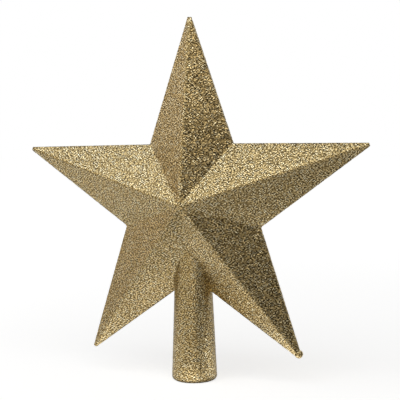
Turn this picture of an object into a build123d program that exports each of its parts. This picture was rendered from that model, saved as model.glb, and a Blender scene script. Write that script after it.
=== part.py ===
from build123d import *
import os
from math import atan2, cos, hypot, pi, radians, sin, sqrt, tan

# Driving dimensions in millimetres. The star is measured on its bare plastic, under the glitter.
tip_radius = 96.5  # star centre to the blunt end of a point
tip_width = 1.05  # across the blunt end
notch_radius = 38.2  # star centre to the notch between two points
apex_rise = 20.9  # height of the middle of the star above the rim band
rim_height = 0.6  # straight band at the rim, on each half
ridge_round = 0.8  # rounding along each ridge
star_height = 93.0  # star centre above the mouth of the socket
shell_wall = 1.6  # wall of both half-shells
coat = 0.5  # thickness of the glitter and its glue
mouth_radius = 11.5  # outside of the socket tube at its mouth
grip_radius = 6.7  # straight upper length of the bore, which grips the tree's top shoot
grip_length = 30.5  # that straight length, up to the closed end; below it the bore widens to the mouth
socket_wall = 1.5  # wall of the socket tube at its mouth, its neck and its closed end
end_drop = 11.0  # the tube's closed end below the star's centre
flange_reach = 1.8  # how far the flange stands out from the neck
flange_thick = 1.7
lip_chamfer = 0.9  # bare outer edge of the mouth
lip_round = 1.8  # the same edge with its coat
rib_thick = 1.6  # webs that trap the flange inside the star
seat_gap = 0.1  # play between the tube and the shells around it
peg_radius = 1.3
peg_length = 3.0
peg_gap = 0.05
peg_place = 54.0  # star centre to each peg
boss_radius = 2.7
tongue_width = 0.9
tongue_height = 0.9
tongue_gap = 0.1
drip_radius = 2.25
drip_inset = 1.3  # centre of the bead, in from the end of its point
drip_side = 0.4  # and off the middle line of its point, towards the right

points = 5
peg_arms = (0, 2, 3)  # the top point and the two lower ones
drip_arm = 2  # the lower right point
half_sector = radians(180 / points)
overrun = 12.0  # how far a cutting shape runs past what it cuts

# The straight edge from a notch to a tip's corner, carried on, sets where a sharp point would end.
notch_along = notch_radius * cos(half_sector)
notch_across = notch_radius * sin(half_sector)
tip_half = tip_width / 2
point_radius = tip_radius + tip_half * (tip_radius - notch_along) / (notch_across - tip_half)
base_half = notch_across / (1 - notch_along / point_radius)
edge_distance = point_radius * base_half / hypot(point_radius, base_half)
facet_distance = 1 / sqrt(1 / point_radius**2 + 1 / base_half**2 + 1 / apex_rise**2)

# The cavity's facets lie one wall inside the shell's. The coat's facets and rim lie one coat outside them.
cavity_scale = 1 - shell_wall / facet_distance
coat_scale = 1 + coat / edge_distance
coat_rim = rim_height + apex_rise * coat * (1 / facet_distance - 1 / edge_distance)
land = edge_distance * (1 - cavity_scale)


def polyhedron(corners, loops):
    """Solid with flat faces; each loop lists the corners of one face by number."""
    faces = [Face(Wire.make_polygon([corners[i] for i in loop], close=True)) for loop in loops]
    return Solid(Shell(faces))


def arm(radius, half, rise, rim, end, rounding):
    """One arm along +Z, the half with y > 0, on past the star's centre.

    At height s its half-width is half * (1 - s / radius) and its ridge stands rise * (1 - s / radius)
    above the rim band.
    """

    def section(s):
        share = 1 - s / radius
        a = half * share
        top = rim + rise * share
        return [(-a, 0, s), (a, 0, s), (a, rim, s), (0, top, s), (-a, rim, s)]

    corners = section(-overrun) + section(end)
    sides = [(i, (i + 1) % 5, (i + 1) % 5 + 5, i + 5) for i in range(5)]
    body = polyhedron(corners, sides + [(0, 1, 2, 3, 4), (5, 6, 7, 8, 9)])
    ridge = [e for e in body.edges() if abs(e.center().X) < 1e-6 and e.center().Y > rim]
    facet_edge = hypot(half, rise) * (1 - end / radius)
    return fillet(ridge, min(rounding, 0.9 * facet_edge / tan(atan2(rise, half))))


def half_star(scale, rim, end, rounding):
    """Half star with y > 0, about the origin: five arms, each held to its own sector."""
    radius = point_radius * scale
    whole = arm(radius, base_half * scale, apex_rise * scale, rim, end, rounding)
    reach = 1.5 * radius
    sector = Polyline((0, 0), (reach * sin(half_sector), reach * cos(half_sector)),
                      (-reach * sin(half_sector), reach * cos(half_sector)), close=True)
    wedge = extrude(Plane.XZ * make_face(sector), amount=-4 * apex_rise)
    one = whole & wedge
    star = one
    for i in range(1, points):
        star = star + on_arm(one, i)
    return star


def on_arm(thing, i):
    """A thing made for the top point, turned about the star's centre to point i."""
    return Rot(0, 360 / points * i, 0) * thing


def star_plate(inset, low, high):
    """Flat star whose edges lie inset inside the bare rim, from y = low to y = high."""
    scale = 1 - inset / edge_distance
    corners = []
    for i in range(points):
        for radius, turn in ((point_radius * scale, 0), (notch_radius * scale, half_sector)):
            angle = 2 * half_sector * i + turn
            corners.append((radius * sin(angle), radius * cos(angle)))
    outline = Plane.XZ * make_face(Polyline(*corners, close=True))
    return Pos(0, low, 0) * extrude(outline, amount=low - high)


def peg_rods(radius, low, high):
    """Rods along Y from y = low to y = high, one at each peg's place."""
    rod = Pos(0, (low + high) / 2, peg_place) * Rot(90, 0, 0) * Cylinder(radius, high - low)
    return [lift * on_arm(rod, i) for i in peg_arms]


def turned(profile):
    """Solid of revolution about Z from a closed line of (radius, height)."""
    return revolve(Plane.XZ * make_face(profile), Axis.Z)


neck_radius = grip_radius + socket_wall
socket_end = star_height - end_drop
flange_foot = socket_end - flange_thick


def outside(height, gap):
    """Radius of the tapered tube at a height above the mouth, swollen by gap."""
    return mouth_radius + gap - (mouth_radius - neck_radius) * height / flange_foot


def lip(foot, size, steps, gap):
    """Corners of the mouth's outer edge, from its flat foot up to the taper: a quarter round in flat steps."""
    middle = outside(foot + size, gap) - size
    turns = [pi / 2 * i / steps for i in range(steps + 1)]
    return [(middle + size * sin(t), foot + size * (1 - cos(t))) for t in turns]


def tube_blank(gap):
    """The whole tube with its bore filled, swollen by gap: tapered, with a flange at its closed end."""
    under = flange_foot - gap
    rim = outside(flange_foot, gap) + flange_reach
    return turned(Polyline((0, coat), *lip(coat, lip_chamfer, 1, gap), (outside(flange_foot, gap), under),
                           (rim, under), (rim, socket_end + gap), (0, socket_end + gap), close=True))


lift = Pos(0, 0, star_height)
bare_half = lift * half_star(1, rim_height, tip_radius, ridge_round)
coat_half = lift * half_star(coat_scale, coat_rim, tip_radius + coat, ridge_round + coat)
cavity_half = lift * half_star(cavity_scale, rim_height, tip_radius * cavity_scale, ridge_round)
tube_room = tube_blank(seat_gap)

# Half-shell: the hollow half star, bosses for the pegs, and two webs for the tube's flange.
# One web has a half-round seat under the flange; the other is a plain stop above it.
shell = bare_half - cavity_half
for boss in peg_rods(boss_radius, 0, 2 * apex_rise):
    shell = shell + (boss & bare_half)
for foot in (flange_foot - seat_gap - rib_thick, socket_end + seat_gap):
    web = Pos(0, apex_rise, foot + rib_thick / 2) * Box(2 * notch_radius, 2 * apex_rise, rib_thick)
    shell = shell + (web & bare_half)
shell = shell - tube_room

# The front half carries a tongue and pegs, the back half a groove and sockets for them.
tongue_out = (land - tongue_width) / 2
tongue_in = (land + tongue_width) / 2
tongue = star_plate(tongue_out, -tongue_height, tongue_height) - star_plate(tongue_in, -overrun, overrun)
groove = star_plate(tongue_out - tongue_gap, -tongue_height, tongue_height + tongue_gap)
groove = groove - star_plate(tongue_in + tongue_gap, -overrun, overrun)

front_shell = mirror(shell, about=Plane.XZ) + (lift * tongue - tube_room)
for peg in peg_rods(peg_radius, -peg_length, peg_length):
    front_shell = front_shell + peg
back_shell = shell - lift * groove
for hole in peg_rods(peg_radius + peg_gap, 0, peg_length + 2 * peg_gap):
    back_shell = back_shell - hole

# Socket tube: a tapered lead-in leads to the straight length of its bore.
bore_mouth = mouth_radius - socket_wall
bore_end = socket_end - socket_wall
grip_foot = bore_end - grip_length
bore = turned(Polyline((0, -overrun), (bore_mouth, -overrun), (bore_mouth, coat), (grip_radius, grip_foot),
                       (grip_radius, bore_end), (0, bore_end), close=True))
tube_space = tube_blank(0)
socket_tube = tube_space - bore

# Coats: what lies between the bare surface and the coated one.
back_glitter_coat = coat_half - bare_half - tube_space
front_glitter_coat = mirror(back_glitter_coat, about=Plane.XZ)
coated_star = coat_half + mirror(coat_half, about=Plane.XZ)
sleeve = turned(Polyline((0, 0), *lip(0, lip_round, 2, coat), (outside(flange_foot, coat), flange_foot),
                         (0, flange_foot), close=True))
socket_glitter_coat = sleeve - tube_space - bore - coated_star

bead = Pos(-drip_side, 0, tip_radius - drip_inset) * Sphere(drip_radius)
tip_drip = lift * on_arm(bead, drip_arm) - coated_star

pieces = {
    "front_shell": front_shell,
    "back_shell": back_shell,
    "socket_tube": socket_tube,
    "front_glitter_coat": front_glitter_coat,
    "back_glitter_coat": back_glitter_coat,
    "socket_glitter_coat": socket_glitter_coat,
    "tip_drip": tip_drip,
}
os.makedirs("parts", exist_ok=True)
for name, piece in pieces.items():
    export_step(piece, "parts/" + name + ".step")
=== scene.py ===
import bpy
import numpy as np
from mathutils import Matrix


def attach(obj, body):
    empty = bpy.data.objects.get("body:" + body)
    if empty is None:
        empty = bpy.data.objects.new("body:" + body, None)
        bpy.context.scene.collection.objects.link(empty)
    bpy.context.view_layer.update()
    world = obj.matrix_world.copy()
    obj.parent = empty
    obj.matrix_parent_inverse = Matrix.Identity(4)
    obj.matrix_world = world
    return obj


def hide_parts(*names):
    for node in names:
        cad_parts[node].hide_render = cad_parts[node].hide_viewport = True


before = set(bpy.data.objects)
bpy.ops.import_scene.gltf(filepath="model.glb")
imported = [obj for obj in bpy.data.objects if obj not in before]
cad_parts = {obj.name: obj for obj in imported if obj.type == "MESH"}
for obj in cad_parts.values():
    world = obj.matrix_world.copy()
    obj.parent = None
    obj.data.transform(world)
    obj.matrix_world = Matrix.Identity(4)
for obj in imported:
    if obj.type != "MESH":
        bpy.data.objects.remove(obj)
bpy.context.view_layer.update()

# Half-shells and socket tube: injection-moulded styrene in a dull old gold, hidden under the glitter
# except inside the bore. The moulding leaves a faint orange-peel, and specks of glitter stray into
# the mouth of the tube when it is sprayed.
MM = 0.001
CLOUDS = 70.0  # slow changes of tone, to the metre
PEEL = 900.0  # orange-peel bumps, to the metre
SPECKS = 1500.0  # places for a strayed flake, to the metre
SPRAY = 22 * MM  # how far up the bore flakes stray
SPECK_GOLD = (0.80, 0.63, 0.34, 1)  # a strayed flake's gold


class Tone:
    """A value in one node tree. A sum, product or quotient of values adds its Math node."""

    def __init__(self, tree, socket=None):
        self.tree = tree
        self.socket = socket

    def node(self, kind, settings, sockets, out=0):
        """Adds a node: first its settings, then values or links for its sockets."""
        made = self.tree.nodes.new("ShaderNode" + kind)
        for key, value in settings.items():
            if key == "stops":
                ramp = made.color_ramp
                while len(ramp.elements) < len(value):
                    ramp.elements.new(0.5)
                for stop, (place, colour) in zip(ramp.elements, value):
                    stop.position = place
                    stop.color = (*colour, 1)
            else:
                setattr(made, key, value)
        for key, value in sockets.items():
            if isinstance(value, Tone):
                self.tree.links.new(value.socket, made.inputs[key])
            else:
                made.inputs[key].default_value = value
        return Tone(self.tree, made.outputs[out])

    def maths(self, operation, first, second):
        """Adds a Math node for two values or numbers."""
        return self.node("Math", {"operation": operation}, {0: first, 1: second})

    def __add__(self, other):
        return self.maths("ADD", self, other)

    def __radd__(self, other):
        return self.maths("ADD", other, self)

    def __sub__(self, other):
        return self.maths("SUBTRACT", self, other)

    def __rsub__(self, other):
        return self.maths("SUBTRACT", other, self)

    def __mul__(self, other):
        return self.maths("MULTIPLY", self, other)

    def __rmul__(self, other):
        return self.maths("MULTIPLY", other, self)

    def __truediv__(self, other):
        return self.maths("DIVIDE", self, other)

    def __rtruediv__(self, other):
        return self.maths("DIVIDE", other, self)

    def __gt__(self, other):
        return self.maths("GREATER_THAN", self, other)

    def blend(self, low, high):
        """Colour low where this value is 0, and high where it is 1."""
        return self.node("Mix", {"data_type": "RGBA"}, {0: self, 6: low, 7: high}, 2)


def new_finish(name):
    """An empty material, its tree as a Tone, and its output's surface socket."""
    finish = bpy.data.materials.new(name)
    finish.use_nodes = True
    finish.node_tree.nodes.clear()
    out = finish.node_tree.nodes.new("ShaderNodeOutputMaterial")
    return finish, Tone(finish.node_tree), out.inputs["Surface"]


def moulded_gold(name, deep, pale):
    """Dull gold plastic: slow clouds of tone, orange-peel bumps, and strayed glitter low in the tube."""
    finish, tone, surface = new_finish(name)
    place = tone.node("TexCoord", {}, {}, "Object")
    clouds = tone.node("TexNoise", {}, {"Vector": place, "Scale": CLOUDS, "Detail": 3.0})
    peel = tone.node("TexNoise", {}, {"Vector": place, "Scale": PEEL, "Detail": 2.0})
    cell = tone.node("TexVoronoi", {}, {"Vector": place, "Scale": SPECKS}, "Color")
    pick = tone.node("SeparateColor", {}, {"Color": cell}, 0)
    height = tone.node("SeparateXYZ", {}, {"Vector": place}, 2)
    low = tone.node("MapRange", {}, {"Value": height, "From Min": 0.0, "From Max": SPRAY,
                                     "To Min": 0.55, "To Max": 1.02})
    speck = pick > low
    plastic = clouds.blend((*deep, 1), (*pale, 1))
    colour = speck.blend(plastic, SPECK_GOLD)
    bump = tone.node("Bump", {}, {"Height": peel + speck * 2.0, "Strength": 0.25, "Distance": 0.12 * MM})
    shader = tone.node("BsdfPrincipled", {}, {
        "Base Color": colour, "Roughness": 0.34 + clouds * 0.16 - speck * 0.12,
        "Metallic": 0.25 + speck * 0.7, "Normal": bump, "Specular IOR Level": 0.5})
    tone.tree.links.new(shader.socket, surface)
    return finish


for node, finish in (
        ("front_shell", moulded_gold("star_gold", (0.40, 0.27, 0.09), (0.52, 0.37, 0.14))),
        ("back_shell", bpy.data.materials["star_gold"]),
        ("socket_tube", moulded_gold("socket_gold", (0.36, 0.24, 0.08), (0.48, 0.34, 0.13)))):
    for worn in bpy.data.objects[node].material_slots:
        worn.material = finish

# Glitter on the star: cut metallised flakes about half a millimetre across, blown onto wet glue, so
# they lie like scales with every one tipped its own way. Each half-shell wears its own crust, which
# rounds the ridges off a little and meets the other half's crust along the seam.
PITCH = 0.56 * MM  # flake to flake
ROW = PITCH * np.sqrt(0.75)  # one row of flakes to the next
STRAY = 0.22  # sideways wander of a flake's corners, as a share of the pitch
TILT = 0.065 * MM  # most that a corner stands above or below the even crust
LOOSE = 0.28  # how far a flake's shine is turned from its face
TIP_DICE = 917.0  # spreads a flake's number into the way its shine is turned
GLOSS_DICE = 531.0  # and into its gloss
OVERHANG = 0.7 * PITCH  # corners further past the outline are left out
SLIVER = 0.05 * PITCH ** 2  # smaller triangles are left out
CENTRE = 93.0 * MM  # star's centre above the mouth of the tube
POINT = 99.65 * MM  # where the edges of one coated point would meet
END = 97.0 * MM  # its blunt end
WAIST = 33.31 * MM  # half width of an arm carried on to the centre
RISE = 21.24 * MM  # apex above the rim band
RIM = 0.866 * MM  # straight band at the rim, on each half
LEAST_RIM = 0.3 * RIM  # least height of the crust over the seam
BARE = 1 / 1.01608  # bare plastic's size over the coated size
BARE_RISE = 20.9 * MM
BARE_RIM = 0.6 * MM
SOFT = 0.38 * MM  # how far the glue rounds off a ridge
RIDGE = 1.3 * MM  # flakes nearer to a ridge than this lie flatter
FLAT = 0.4  # share of its tilt that a flake keeps on a ridge
FALL = np.hypot(1 / POINT, 1 / WAIST)  # how fast a facet falls from crest 1 to crest 0
TURN = 2 * np.pi / 5  # one arm to the next
MOUTH = 12.0 * MM  # radius of the coated tube at its mouth
TAPER = 3.3 / 80.3  # how fast it narrows with height
SUNK = 1.0 * MM  # flakes deeper than this in the tube or the star are left out
chance = np.random.default_rng(24)


def tube_radius(z):
    """Radius of the coated socket tube at height z: a straight taper."""
    return MOUTH - TAPER * z


def fold(x, z):
    """Place in the nearest arm: its number, the way along it and across it."""
    number = np.round(np.arctan2(x, z) / TURN)
    angle = number * TURN
    return number, x * np.sin(angle) + z * np.cos(angle), x * np.cos(angle) - z * np.sin(angle)


def unfold(number, along, across):
    """The way back from an arm to the star's plane."""
    angle = number * TURN
    return along * np.sin(angle) + across * np.cos(angle), along * np.cos(angle) - across * np.sin(angle)


def crest(along, across):
    """1 in the middle of the star and 0 on its rim: 1 - along / POINT - across / WAIST, ridges rounded."""
    return 1 - along / POINT - np.sqrt(across ** 2 + SOFT ** 2) / WAIST


def scale_rows(rows, columns):
    """Triangles between the points of a grid whose every other row is shifted by half a step.

    The last column joins the first one, as on a tube. On the star those triangles drop out, as they lie
    far outside it.
    """
    j, i = np.mgrid[0:rows - 1, 0:columns]
    here = j * columns + i
    beside = j * columns + (i + 1) % columns
    above, aslant = here + columns, beside + columns
    odd = (j % 2 == 1)[..., None]
    first = np.where(odd, np.stack((here, aslant, above), -1), np.stack((here, beside, above), -1))
    second = np.where(odd, np.stack((here, beside, aslant), -1), np.stack((beside, aslant, above), -1))
    return np.concatenate((first.reshape(-1, 3), second.reshape(-1, 3)))


def flake_numbers(rows, columns):
    """A number from 0 to 1 for each pair of triangles of such a grid, unlike its neighbours' numbers."""
    number = chance.random((rows, columns))
    around = sum(np.roll(number, step, axis) for step in (-1, 1) for axis in (0, 1)) / 4
    order = (number - around).ravel().argsort().argsort().reshape(rows, columns)
    return np.tile((order[:-1] / order.size).ravel(), 2)


def put_in_mesh(name, points, triangles, flakes, chart):
    """A mesh object from arrays of points, triangles, each triangle's own chance number and its map."""
    mesh = bpy.data.meshes.new(name)
    mesh.vertices.add(len(points))
    mesh.vertices.foreach_set("co", points.astype(np.float32).ravel())
    mesh.loops.add(triangles.size)
    mesh.loops.foreach_set("vertex_index", triangles.astype(np.int32).ravel())
    mesh.polygons.add(len(triangles))
    mesh.polygons.foreach_set("loop_start", np.arange(0, triangles.size, 3, dtype=np.int32))
    mesh.update(calc_edges=True)
    mesh.attributes.new("flake", "FLOAT", "FACE").data.foreach_set("value", flakes.astype(np.float32))
    mesh.uv_layers.new(name="OFBake").uv.foreach_set("vector", chart.astype(np.float32).ravel())
    made = bpy.data.objects.new(name, mesh)
    bpy.context.scene.collection.objects.link(made)
    return made


def crust(name, outside, edge, inside, triangles, own, spread):
    """A closed crust: the outside, the inside turned over, and strips round each open edge between them.

    edge gives the point halfway round for each outside point, own each outside triangle's number, and
    spread the points' places on the map.
    """
    used, triangles = np.unique(triangles, return_inverse=True)
    triangles = triangles.reshape(-1, 3)
    outside, edge, inside, spread = outside[used], edge[used], inside[used], spread[used]
    count = len(used)
    sides = np.concatenate((triangles[:, (0, 1)], triangles[:, (1, 2)], triangles[:, (2, 0)]))
    lone = ~np.isin(sides[:, 0] * count + sides[:, 1], sides[:, 1] * count + sides[:, 0])
    a, b = sides[lone].T
    strips = [np.stack(s, -1) for s in ((b, a, a + count), (b, a + count, b + count),
                                        (b + count, a + count, a + 2 * count),
                                        (b + count, a + 2 * count, b + 2 * count))]
    faces = np.concatenate((triangles, triangles[:, ::-1] + 2 * count, *strips))
    flakes = np.concatenate((own, own, chance.random(4 * len(a))))
    places = np.concatenate((outside, edge, inside))
    charts = np.concatenate((spread[:, 0], spread[:, 1], spread[:, 0]))[faces]
    edging = slice(2 * len(triangles), None)
    charts[edging] = np.concatenate((spread[:, 0], spread[:, 1], spread[:, 2]))[faces[edging]]
    kept, faces = np.unique(faces, return_inverse=True)
    return put_in_mesh(name, places[kept], faces.reshape(-1, 3), flakes, charts)


def star_crust(name, front):
    """One half's crust: a height field over a grid of flakes on the star's plane.

    A flake's corner at (x, z) stands RIM + RISE * crest above the seam plane, and is tipped by chance.
    Corners just past the outline are drawn back onto it.
    """
    rows = int(2 * END / ROW) + 2
    columns = int(2 * END / PITCH) + 2
    j, i = np.mgrid[0:rows, 0:columns]
    x = (i + 0.5 * (j % 2)) * PITCH - END
    z = j * ROW - END
    x = (x + chance.uniform(-STRAY, STRAY, x.shape) * PITCH).ravel()
    z = (z + chance.uniform(-STRAY, STRAY, z.shape) * PITCH).ravel()
    arm, along, across = fold(x, z)
    past = np.maximum((along / POINT + np.abs(across) / WAIST - 1) / FALL, 0)
    over = np.maximum(past, along - END)
    along = np.minimum(along - past / FALL / POINT, END)
    across = np.sign(across) * np.maximum(np.abs(across) - past / FALL / WAIST, 0)
    x, z = unfold(arm, along, across)
    rise = crest(along, across)
    rim = over > 0
    worn = FLAT + (1 - FLAT) * np.clip(np.abs(across) / RIDGE, 0, 1)
    lift = chance.uniform(-1, 1, len(x)) * TILT * worn
    lean = RISE * FALL
    tip = lift / np.hypot(1, lean)
    sway = tip * lean
    out_x, out_z = unfold(arm, 1 / POINT / FALL, np.sign(across) / WAIST / FALL)
    face = -1 if front else 1
    stand = np.maximum(RIM + RISE * rise, LEAST_RIM) + np.where(rim, 0, tip)
    outside = np.stack((x + out_x * sway, face * stand, CENTRE + z + out_z * sway), -1)
    bare = np.where(rim, 0, BARE_RIM + BARE_RISE * rise)
    inside = np.stack((x * BARE, face * bare, CENTRE + z * BARE), -1)
    swing = np.where(rim, chance.uniform(-1, 1, len(x)) * TILT * 0.8, 0)
    seam = np.stack((x + out_x * swing, 0 * x, CENTRE + z + out_z * swing), -1)
    edge = np.where(rim[:, None], seam, (outside + inside) / 2)
    triangles = scale_rows(rows, columns)
    flat = np.stack((x, z), -1)
    one, two, three = flat[triangles].transpose(1, 0, 2)
    area = np.cross(two - one, three - one) / 2
    away = np.hypot(outside[:, 0], outside[:, 1]) - tube_radius(outside[:, 2])
    in_tube = (away < -SUNK) & (z < 0) & (np.abs(x) < MOUTH)
    good = (over < OVERHANG) & ~in_tube
    kept = good[triangles].all(1) & (area > SLIVER)
    triangles, own = triangles[kept], flake_numbers(rows, columns)[kept]
    if not front:
        triangles = triangles[:, ::-1]
    outward = np.stack((out_x, out_z), -1)
    chart = [(flat + outward * step * RIM + END) / (2 * END) for step in (0, 1, 2)]
    return crust(name, outside, edge, inside, triangles, own, np.stack(chart, 1))


def glitter_finish(name):
    """Metallised flakes: each flake's number picks its gold, its gloss and the way it is tipped."""
    finish, tone, surface = new_finish(name)
    flake = tone.node("Attribute", {"attribute_name": "flake"}, {}, "Fac")
    dice = tone.node("TexWhiteNoise", {"noise_dimensions": "1D"}, {"W": flake * TIP_DICE}, "Color")
    gloss = tone.node("TexWhiteNoise", {"noise_dimensions": "1D"}, {"W": flake * GLOSS_DICE}, "Value")
    gold = tone.node("ValToRGB", {"stops": (
        (0.0, (0.020, 0.013, 0.005)), (0.25, (0.105, 0.072, 0.028)), (0.5, (0.33, 0.238, 0.102)),
        (0.78, (0.74, 0.565, 0.277)), (1.0, (1.0, 0.88, 0.58)))}, {"Fac": flake})
    throw = tone.node("VectorMath", {"operation": "SUBTRACT"}, {0: dice, 1: (0.5, 0.5, 0.5)})
    square = tone.node("NewGeometry", {}, {}, "Normal")
    tipped = tone.node("VectorMath", {"operation": "MULTIPLY_ADD"},
                       {0: throw, 1: (LOOSE, LOOSE, LOOSE), 2: square})
    normal = tone.node("VectorMath", {"operation": "NORMALIZE"}, {0: tipped})
    shader = tone.node("BsdfPrincipled", {}, {
        "Base Color": gold, "Roughness": 0.26 + gloss * 0.22, "Metallic": 1.0, "Normal": normal})
    tone.tree.links.new(shader.socket, surface)
    return finish


glitter = glitter_finish("gold_glitter")
for name, front, node in (("front_crust", True, "front_glitter_coat"),
                          ("back_crust", False, "back_glitter_coat")):
    piece = star_crust(name, front)
    piece.data.materials.append(glitter)
    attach(piece, "root")
    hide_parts(node)

# Glitter on the socket tube: the same flakes on the outside of the tapered tube and round its lip,
# up to where the tube enters the star between the two lower points.
LIP = 1.8 * MM  # rounding of the mouth's outer edge
TUBE_TOP = 72.5 * MM  # above here the tube is inside the star
COAT = 0.5 * MM  # thickness of glitter and glue


def socket_crust(name):
    """A profile of arc length s turned about Z: a quarter round at the lip, then the straight taper."""
    bend = LIP * np.pi / 2
    length = bend + TUBE_TOP - LIP
    rows = int(length / ROW) + 1
    columns = int(2 * np.pi * tube_radius(40 * MM) / PITCH)
    j, i = np.mgrid[0:rows, 0:columns]
    free = (j > 0) & (j < rows - 1)
    s = j * length / (rows - 1) + chance.uniform(-STRAY, STRAY, j.shape) * PITCH * free
    angle = ((i + 0.5 * (j % 2)) + chance.uniform(-STRAY, STRAY, i.shape)) * 2 * np.pi / columns
    turn = np.minimum(s / bend, 1) * np.pi / 2
    climb = np.maximum(s - bend, 0)
    z = (LIP * (1 - np.cos(turn)) + climb).ravel()
    lip = tube_radius(LIP) - LIP + LIP * np.sin(turn)
    radius = np.where(s < bend, lip, tube_radius(LIP + climb)).ravel()
    out, up = np.sin(turn).ravel(), -np.cos(turn).ravel()
    angle, s = angle.ravel(), s.ravel()
    lift = chance.uniform(-1, 1, len(z)) * TILT

    def ring(step):
        """The profile moved outwards by step, and turned by each corner's own angle."""
        r = radius + out * step
        return np.stack((r * np.sin(angle), -r * np.cos(angle), np.maximum(z + up * step, 0)), -1)

    outside, inside = ring(lift), ring(np.full(len(z), -COAT))
    along, across = fold(outside[:, 0], outside[:, 2] - CENTRE)[1:]
    cover = RIM + RISE * crest(along, across) - np.abs(outside[:, 1])
    within = 1 - along / POINT - np.abs(across) / WAIST
    buried = (cover > 1.2 * SUNK) & (within > SUNK * FALL)
    triangles = scale_rows(rows, columns)[:, ::-1]
    kept = ~buried[triangles].any(1)
    triangles, own = triangles[kept], flake_numbers(rows, columns)[kept]
    side = np.stack((angle / (2 * np.pi) * 0.9, s / (bend + TUBE_TOP)), -1)
    edge = (outside + inside) / 2
    return crust(name, outside, edge, inside, triangles, own, np.stack((side, side, side), 1))


piece = socket_crust("socket_crust")
piece.data.materials.append(glitter)
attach(piece, "root")
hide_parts("socket_glitter_coat")

# Bead at the lower right point: a drop of glue that ran down to the tip and set there, with flakes
# caught in it.
DROP = (56.28 * MM, 0.0, 16.22 * MM)  # the drop's middle
DROP_RADIUS = 2.2 * MM


def drip_bead(name):
    """A ball on a grid of latitude and longitude: corners tipped by chance, poles drawn together."""
    rows, columns = 15, 26
    j, i = np.mgrid[0:rows, 0:columns]
    latitude = (j / (rows - 1) - 0.5) * np.pi
    longitude = (i + 0.5 * (j % 2)) * 2 * np.pi / columns
    radius = DROP_RADIUS + chance.uniform(-1, 1, j.shape) * TILT * 0.7
    ring = radius * np.cos(latitude)
    ball = np.stack((ring * np.sin(longitude), -ring * np.cos(longitude), radius * np.sin(latitude)), -1)
    points = ball.reshape(-1, 3) + DROP
    number = np.arange(rows * columns).reshape(rows, columns)
    number[0], number[-1] = 0, rows * columns - 1
    triangles = number.ravel()[scale_rows(rows, columns)]
    a, b, c = triangles.T
    triangles = triangles[(a != b) & (b != c) & (c != a)]
    chart = np.stack((longitude.ravel() / 7, j.ravel() / rows), -1)[triangles]
    kept, faces = np.unique(triangles, return_inverse=True)
    return put_in_mesh(name, points[kept], faces.reshape(-1, 3), chance.random(len(triangles)), chart)


piece = drip_bead("bead_crust")
piece.data.materials.append(glitter)
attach(piece, "root")
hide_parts("tip_drip")

# Set: a plain white table, and a white room that the table runs into. The topper stands on the mouth
# of its tube, as it does when it is off the tree.
LIT = 0.26  # share of white that the lamps alone give the table under the topper
FADE = 4.0  # how that fades with the square of the distance
PAPER = 0.4  # level at which the flakes see the table, away from the painted pools of light
AIR = 0.005  # what the room itself sheds
PAINTED_SHADE_REACH = 16 * MM  # how far from the tube's axis the table wears painted shade in place of the tube's own shadow


def rays(tone):
    """1 for what the camera sees by itself, and 1 for what it sees mirrored or through something clear."""
    seen = tone.node("LightPath", {}, {}, "Is Camera Ray")
    path = seen.socket.node
    glossy = Tone(tone.tree, path.outputs["Is Glossy Ray"])
    clear = Tone(tone.tree, path.outputs["Is Transmission Ray"])
    return seen, seen.maths("MAXIMUM", glossy, clear)


def white_table():
    """White paint that the camera sees as white, and that keeps the topper's shadow.

    In reflections the flakes see it even, with painted pools of light before the foot and at both sides of
    it.
    Painted shade makes it darker at the right front, and right round the tube, in place of the tube's own
    shadow.
    """
    finish, tone, surface = new_finish("white_table")
    seen, mirrored = rays(tone)
    spot = tone.node("TexCoord", {}, {}, "Object")
    far = tone.node("VectorMath", {"operation": "LENGTH"}, {0: spot}, "Value")
    lamplight = LIT / (1 + far * far * FADE)
    across = tone.node("SeparateXYZ", {}, {"Vector": spot}, 0)
    depth = tone.node("SeparateXYZ", {}, {"Vector": spot}, 1)

    def painted_pool(level, x, y, width, length):
        """A painted pool of light: level at (x, y), a quarter of it at width to its side or at length
        before or behind it.
        """
        aside = (across - x) / width
        apart = (depth - y) / length
        spread = 1 + aside * aside + apart * apart
        return level / (spread * spread)

    # Painted pools of light, and a painted darker patch at the right front, which only reflections see.
    foot = painted_pool(2.4, 0.001, -0.019, 0.018, 0.011)
    left = painted_pool(0.95, -0.06, -0.015, 0.03, 0.025) + painted_pool(0.42, -0.23, -0.02, 0.12, 0.08)
    right = painted_pool(1.6, 0.053, 0.0, 0.03, 0.03) - painted_pool(0.4, 0.09, -0.075, 0.11, 0.075)
    # Painted shade round the tube's foot, standing in for its contact shadow in reflections.
    near = far * far / PAINTED_SHADE_REACH ** 2
    painted_shade = 1 / (1 + near * near * near * near)
    painted_light_seen_mirrored = (PAPER + foot + left + right) * (1 - painted_shade)
    paint = tone.node("BsdfDiffuse", {}, {"Color": (0.5, 0.5, 0.5, 1)})
    # The camera sees even white; reflections see the painted light and painted shade above.
    glow = tone.node("Emission", {}, {"Strength": seen * (1 - lamplight) + mirrored * (1 - seen) * painted_light_seen_mirrored})
    both = tone.node("AddShader", {}, {0: paint, 1: glow})
    tone.tree.links.new(both.socket, surface)
    return finish


mesh = bpy.data.meshes.new("table")
mesh.from_pydata([(-6, -6, 0), (6, -6, 0), (6, 6, 0), (-6, 6, 0)], [], [(0, 1, 2, 3)])
table = bpy.data.objects.new("table", mesh)
bpy.context.scene.collection.objects.link(table)
table.data.materials.append(white_table())

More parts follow.
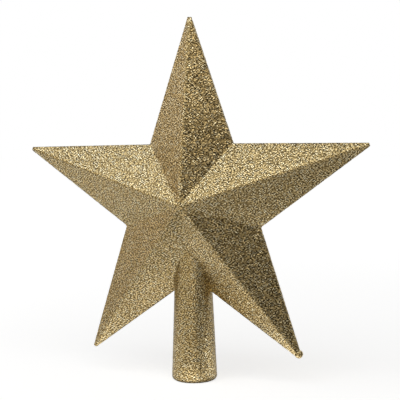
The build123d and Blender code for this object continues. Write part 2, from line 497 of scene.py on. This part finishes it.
room = bpy.data.worlds.new("room")
bpy.context.scene.world = room
room.use_nodes = True
room.node_tree.nodes.clear()
tone = Tone(room.node_tree)
seen, mirrored = rays(tone)
heading = tone.node("SeparateXYZ", {}, {"Vector": tone.node("TexCoord", {}, {}, "Generated")}, 1)
behind = tone.node("MapRange", {}, {"Value": heading, "From Min": -0.1, "From Max": 0.35})
level = AIR + (1 - AIR) * (seen + (1 - seen) * mirrored * behind)
air = tone.node("Background", {}, {"Color": (1, 1, 1, 1), "Strength": level})
out = room.node_tree.nodes.new("ShaderNodeOutputWorld")
room.node_tree.links.new(air.socket, out.inputs["Surface"])

# Lamps: a wide soft panel overhead in front, a cooler one overhead at the left, two warm ones at the left,
# a low one in front and a weak one high at the right. The right front is left dark, which is what gives
# the facets their two tones.


def set_at(thing, place, side, up, back):
    """Puts a lamp or a camera at place, with its own axes along side, up and back."""
    turn = np.stack((side, up, back), 1)
    thing.matrix_world = Matrix.LocRotScale(place, Matrix(turn.tolist()), None)
    bpy.context.scene.collection.objects.link(thing)


def panel(name, place, aim, width, height, power, colour):
    """A soft rectangular lamp at place, facing aim."""
    lamp = bpy.data.lights.new(name, "AREA")
    lamp.shape = "RECTANGLE"
    lamp.size = width
    lamp.size_y = height
    lamp.energy = power
    lamp.color = colour
    back = np.subtract(place, aim)
    back = back / np.linalg.norm(back)
    side = np.cross((0, 0, 1) if abs(back[2]) < 0.95 else (0, 1, 0), back)
    side = side / np.linalg.norm(side)
    set_at(bpy.data.objects.new(name, lamp), place, side, np.cross(back, side), back)


MIDDLE = (0, 0, CENTRE)
panel("overhead", (0, -0.75, 1.1), MIDDLE, 1.6, 0.9, 7.35, (0.98, 1.0, 1.0))
panel("overhead_left", (-0.85, -0.4, 0.9), MIDDLE, 1.0, 1.2, 3.25, (0.80, 0.86, 1.0))
panel("left", (-1.15, 0.0, 0.42), MIDDLE, 1.3, 0.8, 1.0, (1.0, 0.80, 0.60))
panel("left_front", (-0.85, -0.85, 0.42), MIDDLE, 1.2, 0.8, 2.25, (1.0, 0.88, 0.60))
panel("front_low", (0.1, -0.95, 0.16), MIDDLE, 0.6, 0.3, 0.8, (1.0, 0.90, 0.72))
panel("right", (0.5, -0.38, 0.6), MIDDLE, 0.4, 0.4, 0.68, (1.0, 0.92, 0.78))

# Camera: at the photograph's place, about half a metre away, a little to the right of square-on and a
# little above the star's middle.
EYE = np.array((0.14646, -0.4473, 0.03217)) + MIDDLE
AHEAD = np.array((-0.30224507, 0.95106612, -0.06419627))
UP = np.array((-0.00637816, 0.06532676, 0.99784354))
SENSOR = 36.0
PICTURE = 400  # width of the picture in pixels
FOCAL = 897.81  # focal length in the same pixels
lens = bpy.data.cameras.new("camera")
lens.sensor_width = SENSOR
lens.lens = SENSOR * FOCAL / PICTURE
camera = bpy.data.objects.new("camera", lens)
set_at(camera, EYE, np.cross(AHEAD, UP), UP, -AHEAD)
bpy.context.scene.camera = camera
bpy.context.scene.view_settings.view_transform = "Standard"
